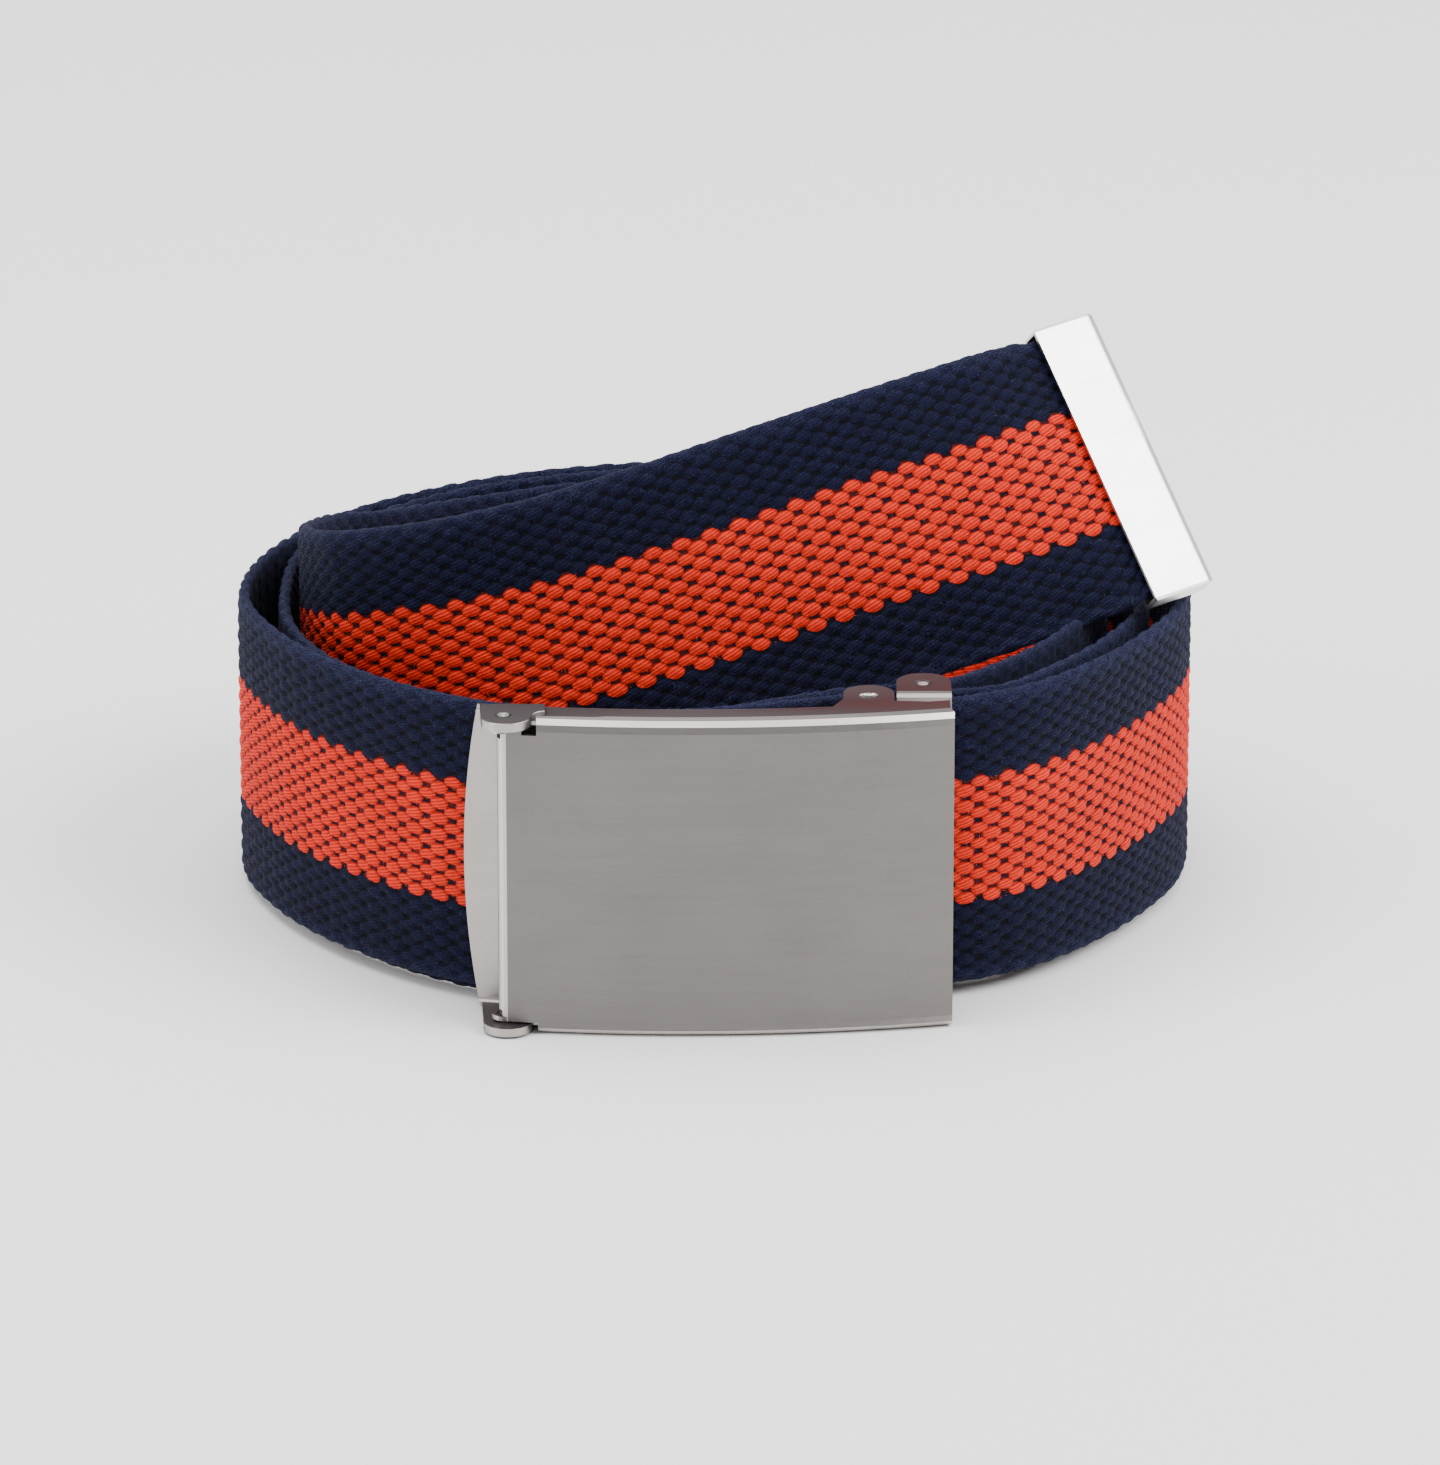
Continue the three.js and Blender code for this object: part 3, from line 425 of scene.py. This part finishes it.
# ranges of a noise over which a colour turns from its first to its second
NAVY_TURN, RIM_TURN, GAP_TURN, LOOSE_TURN = (0.46, 0.66), (0.44, 0.62), (0.42, 0.58), (0.35, 0.65)
# heights up to which the gaps' painted shade shows, and between which the weave turns from painted shade to
# painted light
GAP_SHADE_HEIGHTS, LIT_HEIGHTS, LIT_SHADES = (0.0, 0.08), (0.04, 0.36), (0.30, 1.06)
# painted shade between plies and between fibres, the patches' uneven tone, and how far the rims even out the
# painted shade
PLY_SHADES, FIBRE_SHADES, PATCH_SHADES, RIM_EVENNESS = (0.70, 1.16), (0.82, 1.16), (0.93, 1.07), 0.85
# what each layer adds to the bump's height
PLY_RELIEF, FLOAT_RELIEF, FIBRE_RELIEF, HAIR_RELIEF = 0.050, 0.45, 0.14, 0.10
BUMP_STRENGTH, BUMP_METRES = 0.85, 0.0007


def rows_off_middle(n, row):
    """Rows from the middle of the outer face's stripe, either way round to the inner face's."""
    return n.math("PINGPONG", n.math("ABSOLUTE", n.math("SUBTRACT", row, STRIPE_MIDDLE)), LOOP_ROWS / 2)


def in_stripe(n, row):
    """1 in the stripe of either face."""
    rows = rows_off_middle(n, row)
    outer = n.math("LESS_THAN", rows, STRIPE_ROWS)
    inner = n.math("GREATER_THAN", rows, LOOP_ROWS / 2 - STRIPE_ROWS)
    return n.math("MAXIMUM", outer, inner)


def webbing_material():
    n = Nodes("woven_webbing")
    lattice = n.add("UVMap", uv_map=LATTICE_UV).outputs["UV"]
    split = n.add("SeparateXYZ", {0: lattice})
    along, across = split.outputs[0], split.outputs[1]

    heights, stripes, slants = [], [], []
    for half_length, half_width, height, place, row_place in FLOATS:
        column = n.math("FLOOR", n.math("ADD", along, 0.5 - place))
        row = n.math("FLOOR", n.math("ADD", across, 0.5 - row_place))
        dx = n.math("MULTIPLY", n.math("SUBTRACT", n.math("SUBTRACT", along, place), column), CELL_ALONG)
        dy = n.math("MULTIPLY", n.math("SUBTRACT", n.math("SUBTRACT", across, row_place), row), ROW)
        length_part = n.math("POWER", n.math("DIVIDE", n.math("ABSOLUTE", dx), half_length), FLOAT_POWER)
        width_part = n.math("POWER", n.math("DIVIDE", n.math("ABSOLUTE", dy), half_width), FLOAT_POWER)
        inside = n.math("SUBTRACT", 1.0, n.math("ADD", length_part, width_part))
        heights.append(n.math("MULTIPLY", n.math("SQRT", n.math("MAXIMUM", inside, 0.0)), height))
        stripes.append(in_stripe(n, n.math("ADD", row, row_place)))
        # the plies lie across the float at a slant
        slants.append(n.math("MULTIPLY_ADD", dx, -PLY_SLANT, dy))
    is_b = n.math("GREATER_THAN", heights[1], heights[0])
    height = n.math("MAXIMUM", heights[0], heights[1])
    stripe = n.mix(is_b, stripes[0], stripes[1], "FLOAT")
    slant = n.mix(is_b, slants[0], slants[1], "FLOAT")
    ply = n.math("SINE", n.math("MULTIPLY", slant, 2 * math.pi / PLY_WIDTH))
    fibre_along = n.math("MULTIPLY", along, FIBRE_STRETCH_ALONG)
    fibre_over = n.math("MULTIPLY", slant, FIBRE_STRETCH_OVER)
    fibres = n.noise(n.add("CombineXYZ", {0: fibre_along, 1: fibre_over, 2: across}).outputs[0], 1.0, 2.0, 0.6)
    off_rim = n.math("ABSOLUTE", n.math("SUBTRACT", rows_off_middle(n, across), LOOP_ROWS / 4))
    rim = n.ramp(off_rim, RIM_COLOUR_STARTS, RIM_COLOUR_FULL)

    where = n.add("TexCoord").outputs["Object"]
    patches = n.noise(where, PATCHES, 3.0)
    specks = n.noise(where, SPECKS, 3.0, 0.6)
    hairs = n.noise(where, HAIRS, 2.0, 0.6)
    grain = n.noise(where, GRAIN, 2.0, 0.7)

    # painted light and shade: each ply lighter on its crest and darker between, over the specks' and grain's
    # uneven tone
    tone = n.math("MULTIPLY_ADD", ply, PLY_LIGHT_AND_SHADE, n.spread(specks, *SPECK_TONES))
    tone = n.math("MULTIPLY_ADD", n.spread(grain), GRAIN_TONE, tone)
    navy = n.mix(n.ramp(grain, *NAVY_TURN), *NAVY)
    # lighter navy on the rims: fuzz, with painted sheen
    navy = n.mix(rim, navy, n.mix(n.ramp(grain, *RIM_TURN), *RIM_NAVY_AND_SHEEN))
    colour = n.mix(stripe, navy, n.mix(tone, *ORANGE))
    # painted shade: a dark colour in the gaps between the floats, left off the rims
    orange_gap_shade = n.mix(n.ramp(n.noise(where, GAPS, 1.0), *GAP_TURN), *ORANGE_GAP_SHADE)
    gap_shade = n.mix(stripe, NAVY_GAP_SHADE, orange_gap_shade)
    colour = n.mix(n.math("MAXIMUM", n.ramp(height, *GAP_SHADE_HEIGHTS), rim), gap_shade, colour)
    # painted shade: darker low in the weave, between plies and between fibres, with painted light on the floats'
    # tops; the rims get a more even painted shade
    lit = n.ramp(height, *LIT_HEIGHTS, *LIT_SHADES)
    shade = n.mix(n.math("MULTIPLY", rim, RIM_EVENNESS), lit, 1.0, "FLOAT")
    shade = n.math("MULTIPLY", shade, n.ramp(ply, -1.0, 1.0, *PLY_SHADES))
    shade = n.math("MULTIPLY", shade, n.spread(fibres, *FIBRE_SHADES))
    shade = n.math("MULTIPLY", shade, n.spread(patches, *PATCH_SHADES))

    relief = n.math("MULTIPLY_ADD", ply, PLY_RELIEF, n.math("MULTIPLY", height, FLOAT_RELIEF))
    relief = n.math("MULTIPLY_ADD", fibres, FIBRE_RELIEF, relief)
    relief = n.math("MULTIPLY_ADD", hairs, HAIR_RELIEF, relief)
    bump = n.add("Bump", {"Height": relief, "Strength": BUMP_STRENGTH, "Distance": BUMP_METRES})
    roughness = n.ramp(specks, 0.2, 0.8, 0.80, 0.95)
    n.set(Base_Color=n.scaled(colour, shade), Roughness=roughness, Normal=bump.outputs[0])
    n.shader.inputs["Specular IOR Level"].default_value = 0.14
    n.shader.inputs["Sheen Weight"].default_value = 0.040
    n.shader.inputs["Sheen Roughness"].default_value = 0.40
    n.shader.inputs["Sheen Tint"].default_value = (0.72, 0.76, 1.0, 1)
    return n.material


def fibre_material():
    n = Nodes("loose_fibres")
    lattice = n.add("UVMap", uv_map=LATTICE_UV).outputs["UV"]
    stripe = in_stripe(n, n.add("SeparateXYZ", {0: lattice}).outputs[1])
    tone = n.ramp(n.noise(n.add("TexCoord").outputs["Object"], LOOSE_TONES, 1.0), *LOOSE_TURN)
    n.set(Base_Color=n.mix(stripe, n.mix(tone, *LOOSE_NAVY), n.mix(tone, *LOOSE_ORANGE)), Roughness=0.9)
    n.shader.inputs["Specular IOR Level"].default_value = 0.1
    return n.material


# ---------------------------------------------------------------- steel material

# metres along the brush, across it and out of the face: its lines, broader bands and cloudy patches
LINE_SIZES = (0.030, 0.00010, 0.00010)
BAND_SIZES = (0.050, 0.0010, 0.0010)
CLOUD_SIZES = (0.012, 0.008, 0.008)
# brightness that the lines and the bands give the brushed face
LINE_RANGE, LINE_LEVELS, BAND_LEVELS = (0.25, 0.75), (0.88, 1.06), (0.97, 1.02)
# roughness that the lines and the cloudy patches add
LINE_ROUGHENS, CLOUD_SMOOTHS, CLOUD_ROUGHENS = 0.05, 0.03, 0.04
# how squarely a place has to face along the broad face's direction to count as brushed, and as flat
BRUSHED_FACING, FLAT_FACING = (0.20, 0.50), (0.86, 0.955)
# colour and roughness of the returns and ears, which the brush did not reach; their dark mauve is partly painted
# reflection of the webbing behind them
DARK_PLAIN_AND_REFLECTION, PLAIN_ROUGHNESS = (0.046, 0.037, 0.040), 0.40
BRUSH_STRENGTH, BRUSH_METRES = 0.5, 0.00002
ANISOTROPY, ANISOTROPY_TURN = 0.7, 0.25


def steel_material(name, axes, tone, roughness, plain=DARK_PLAIN_AND_REFLECTION, bend_highlight=3.2, plain_metal=0.5):
    """Brushed steel. axes are the brush's direction, the one across it, and the face's own."""
    n = Nodes(name)
    lines = n.noise(n.stretched(axes, LINE_SIZES), 1.0, 3.0, 0.6)
    bands = n.noise(n.stretched(axes, BAND_SIZES), 1.0, 2.0, 0.5)
    cloud = n.noise(n.stretched(axes, CLOUD_SIZES), 1.0, 3.0, 0.5)
    level = n.math("MULTIPLY", n.ramp(lines, *LINE_RANGE, *LINE_LEVELS), n.spread(bands, *BAND_LEVELS))
    cloudy = n.spread(cloud, roughness - CLOUD_SMOOTHS, roughness + CLOUD_ROUGHENS)
    rough = n.math("ADD", n.spread(lines, -LINE_ROUGHENS, LINE_ROUGHENS), cloudy)
    # the brush only reached the broad face: returns and ears are plain, and on the lid and frame their dark
    # mauve is partly painted reflection
    facing = n.math("ABSOLUTE", n.along_axis(n.add("TexCoord").outputs["Normal"], axes[2]))
    brushed = n.ramp(facing, *BRUSHED_FACING)
    broad_face = n.ramp(facing, *FLAT_FACING)
    rough = n.mix(brushed, PLAIN_ROUGHNESS, rough, "FLOAT")
    # painted highlight: the bends' tone is the broad face's tone scaled up, standing for the light they catch;
    # on the frame it is scaled a little down
    colour = n.mix(broad_face, tuple(t * bend_highlight for t in tone) + (1,), n.scaled(tone, level))
    colour = n.mix(brushed, plain + (1,), colour)
    strength = n.math("MULTIPLY", broad_face, BRUSH_STRENGTH)
    bump = n.add("Bump", {"Height": lines, "Strength": strength, "Distance": BRUSH_METRES})
    tangent = n.add("Tangent", direction_type="RADIAL", axis="Z")
    n.set(Base_Color=colour, Roughness=rough, Normal=bump.outputs[0], Tangent=tangent.outputs[0])
    n.set(Metallic=n.mix(brushed, plain_metal, 1.0, "FLOAT"))
    n.shader.inputs["Anisotropic"].default_value = ANISOTROPY
    n.shader.inputs["Anisotropic Rotation"].default_value = ANISOTROPY_TURN
    return n.material


# ---------------------------------------------------------------- strap

# table angles of the coil where one stretch of the webbing ends and the next one starts
CUT_ANGLES = (115, 295, 485, 653, 845)
END_INSET = 0.02
# name, then whether the outer and the inner face are finely modelled
STRETCHES = (
    ("strap_outer_turn_right", True, False),
    ("strap_outer_turn_left", True, False),
    ("strap_middle_turn", False, False),
    ("strap_inner_turn_left", False, True),
    ("strap_inner_turn_right", False, True),
    ("strap_tail", True, True),
)

webbing = webbing_material()
cuts = [0.0, *(reach_at(angle) for angle in CUT_ANGLES), STRAP_LENGTH - END_INSET]
for (name, fine_outer, fine_inner), start, end in zip(STRETCHES, cuts, cuts[1:]):
    webbing_piece(name, start, end, fine_outer, fine_inner, webbing)

# ---------------------------------------------------------------- loose fibres

# places round the loop where fibres lie
OUTER, INNER, BOTH = (-FACE_HALF, INNER_START), (FACE_HALF, BOTTOM_START), (-FACE_HALF, BOTTOM_START)
TOP_RIM = (FACE_HALF - 0.8, INNER_START + 0.5)
# least and greatest length, rise and sideways curl of a fibre
FIBRE_LENGTHS, FIBRE_RISES, FIBRE_CURLS = (0.25, 0.75), (0.02, 0.13), (-0.2, 0.2)
# half width at the root and its tilt, width left at the middle, curl there and rise left at the tip
HALF_WIDTH, HALF_TILT, MIDDLE_WIDTH, MIDDLE_CURL, TIP_RISE = 0.016, 0.004, 0.8, 0.4, 0.7
ROOT_DEPTH = 0.03
# bare lengths beside the webbing's start, the end of the outer turn and the cap
END_MARGIN, CAP_MARGIN = 4.0, 1.0


def fibres(name, start, end, loops, count, seed, material):
    """Short stray fibres lying over one stretch of the webbing, as narrow two-piece blades."""
    draw = np.random.default_rng(seed)
    reach = draw.uniform(start, end, count)
    loop = draw.uniform(*loops, count)
    point, tangent, width, face = strap_axes(reach)
    u, v = lattice_places(reach, loop)
    base, normal = section_at(loop)
    foot = base + normal * (weave_heights(u, v, loop) - ROOT_DEPTH)[:, None]
    out = width * normal[:, :1] + face * normal[:, 1:]
    round_way = np.cross(tangent, out)
    root = point + width * foot[:, :1] + face * foot[:, 1:]
    heading = draw.uniform(0, 2 * math.pi, count)[:, None]
    lying = tangent * np.cos(heading) + round_way * np.sin(heading)
    across = tangent * -np.sin(heading) + round_way * np.cos(heading)
    length = draw.uniform(*FIBRE_LENGTHS, count)[:, None]
    rise = draw.uniform(*FIBRE_RISES, count)[:, None]
    curl = draw.uniform(*FIBRE_CURLS, count)[:, None]
    middle = root + lying * length * 0.5 + out * rise + across * curl * MIDDLE_CURL
    tip = root + lying * length + out * rise * TIP_RISE + across * curl
    half = across * HALF_WIDTH + out * HALF_TILT
    blade = (root - half, root + half, middle + half * MIDDLE_WIDTH, middle - half * MIDDLE_WIDTH, tip)
    places = np.stack(blade, axis=1).reshape(-1, 3)
    first = np.arange(count)[:, None] * len(blade)
    quads, tips = first + (0, 1, 2, 3), first + (3, 2, 4)
    where = np.stack((u, v), axis=1)
    corner_uv = np.concatenate((np.repeat(where, 4, 0), np.repeat(where, 3, 0)))
    piece = new_piece(name, places, quads.tolist() + tips.tolist(), corner_uv, material)
    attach(piece, "belt")


fuzz = fibre_material()
fibres("fibres_outer_turn", END_MARGIN, cuts[2] - END_MARGIN, OUTER, 26000, 11, fuzz)
fibres("fibres_top_rims", END_MARGIN, cuts[5], TOP_RIM, 30000, 14, fuzz)
fibres("fibres_inner_turn", cuts[3], cuts[5], INNER, 8000, 12, fuzz)
fibres("fibres_tail", cuts[5], STRAP_LENGTH - CAP_GRIP - CAP_MARGIN, BOTH, 12000, 13, fuzz)

# ---------------------------------------------------------------- metal

SHARP_ANGLE, BEVEL_STEPS = math.radians(50), 2


def paint(node, material):
    """Gives a CAD node one finished material in place of its plain one."""
    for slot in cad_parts[node].material_slots:
        slot.material = material


def soften(node, width, clamp=True):
    """Rounds a CAD node's sharp edges, as rolled sheet has them, so that they catch the light."""
    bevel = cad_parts[node].modifiers.new("soft_edges", "BEVEL")
    bevel.width, bevel.segments, bevel.limit_method = width * MM, BEVEL_STEPS, "ANGLE"
    bevel.angle_limit, bevel.use_clamp_overlap, bevel.harden_normals = SHARP_ANGLE, clamp, True


X, Y, Z = np.eye(3)
_, tip_along, tip_across, tip_face = (a[0] for a in strap_axes(np.array([STRAP_LENGTH])))
bright = {"bend_highlight": 1.0, "plain_metal": 1.0}
# painted shade: the lid's steel is given a darker tone than the frame's, standing for the darker surroundings
# its broad face reflects
lid_steel = steel_material("brushed_lid", (X, Z, Y), (0.199, 0.184, 0.175), 0.42)
frame_steel = steel_material("brushed_frame", (X, Z, Y), (0.43, 0.399, 0.382), 0.38, bend_highlight=0.95)
pin_steel = steel_material("turned_pin", (Z, X, Y), (0.78, 0.77, 0.76), 0.22, (0.55, 0.54, 0.53), **bright)
tip_axes = (tip_along, tip_across, tip_face)
tip_steel = steel_material("brushed_tip", tip_axes, (0.97, 0.965, 0.95), 0.30, (0.82, 0.82, 0.81), **bright)

paint("buckle_lid", lid_steel)
paint("buckle_frame", frame_steel)
paint("clamp_jaw", pin_steel)
paint("hinge_pin_bottom", pin_steel)
paint("hinge_pin_top", pin_steel)
paint("tip_cap", tip_steel)
soften("buckle_lid", 0.2, clamp=False)
soften("buckle_frame", 0.12)
soften("tip_cap", 0.60)

# ---------------------------------------------------------------- stage and light, in metres

FLOOR_RADIUS, FLOOR_SIDES, FLOOR_DROP = 6.0, 96, 0.00005
# the sky is brighter overhead and behind, darker in front, where a photographer stands
SKY_SLOPE = (-0.25, 0.45, 0.85)
SKY_LEVELS = (-0.6, 0.8, 0.55, 1.12)
# name, place, aim, width and depth, watts
LIGHTS = (
    ("overhead", (-0.20, 0.10, 1.1), (0, 0, 0.02), (1.2, 0.9), 13.5),
    ("upper_right", (0.80, -0.28, 0.85), (0.03, 0, 0.04), (0.9, 0.7), 16.0),
    ("left", (-1.1, -0.45, 0.45), (0, 0, 0.03), (0.7, 0.6), 6.0),
)


def area_light(name, location, aim, size, power):
    data = bpy.data.lights.new(name, "AREA")
    data.shape, data.size, data.size_y = "RECTANGLE", size[0], size[1]
    data.energy = power
    light = bpy.data.objects.new(name, data)
    light.location = location
    direction = np.array(aim, float) - np.array(location, float)
    light.rotation_euler = Vector(direction).to_track_quat("-Z", "Y").to_euler()
    bpy.context.scene.collection.objects.link(light)


def build_floor():
    mesh = bpy.data.meshes.new("floor")
    shape = bmesh.new()
    bmesh.ops.create_circle(shape, cap_ends=True, radius=FLOOR_RADIUS, segments=FLOOR_SIDES)
    shape.to_mesh(mesh)
    shape.free()
    floor = bpy.data.objects.new("floor", mesh)
    floor.location = (0, 0, -FLOOR_DROP)
    bpy.context.scene.collection.objects.link(floor)
    n = Nodes("pale_floor")
    n.set(Base_Color=(0.93, 0.93, 0.93, 1), Roughness=0.75)
    mesh.materials.append(n.material)


def build_sky():
    world = bpy.data.worlds.new("studio")
    world.use_nodes = True
    nodes, links = world.node_tree.nodes, world.node_tree.links
    where = nodes.new("ShaderNodeTexCoord")
    slope = nodes.new("ShaderNodeVectorMath")
    slope.operation = "DOT_PRODUCT"
    slope.inputs[1].default_value = SKY_SLOPE
    level = nodes.new("ShaderNodeMapRange")
    for socket, value in zip(list(level.inputs)[1:5], SKY_LEVELS):
        socket.default_value = value
    links.new(where.outputs["Generated"], slope.inputs[0])
    links.new(slope.outputs["Value"], level.inputs[0])
    links.new(level.outputs[0], nodes["Background"].inputs[1])
    nodes["Background"].inputs[0].default_value = (1, 1, 1, 1)
    bpy.context.scene.world = world


build_floor()
build_sky()
for light in LIGHTS:
    area_light(*light)
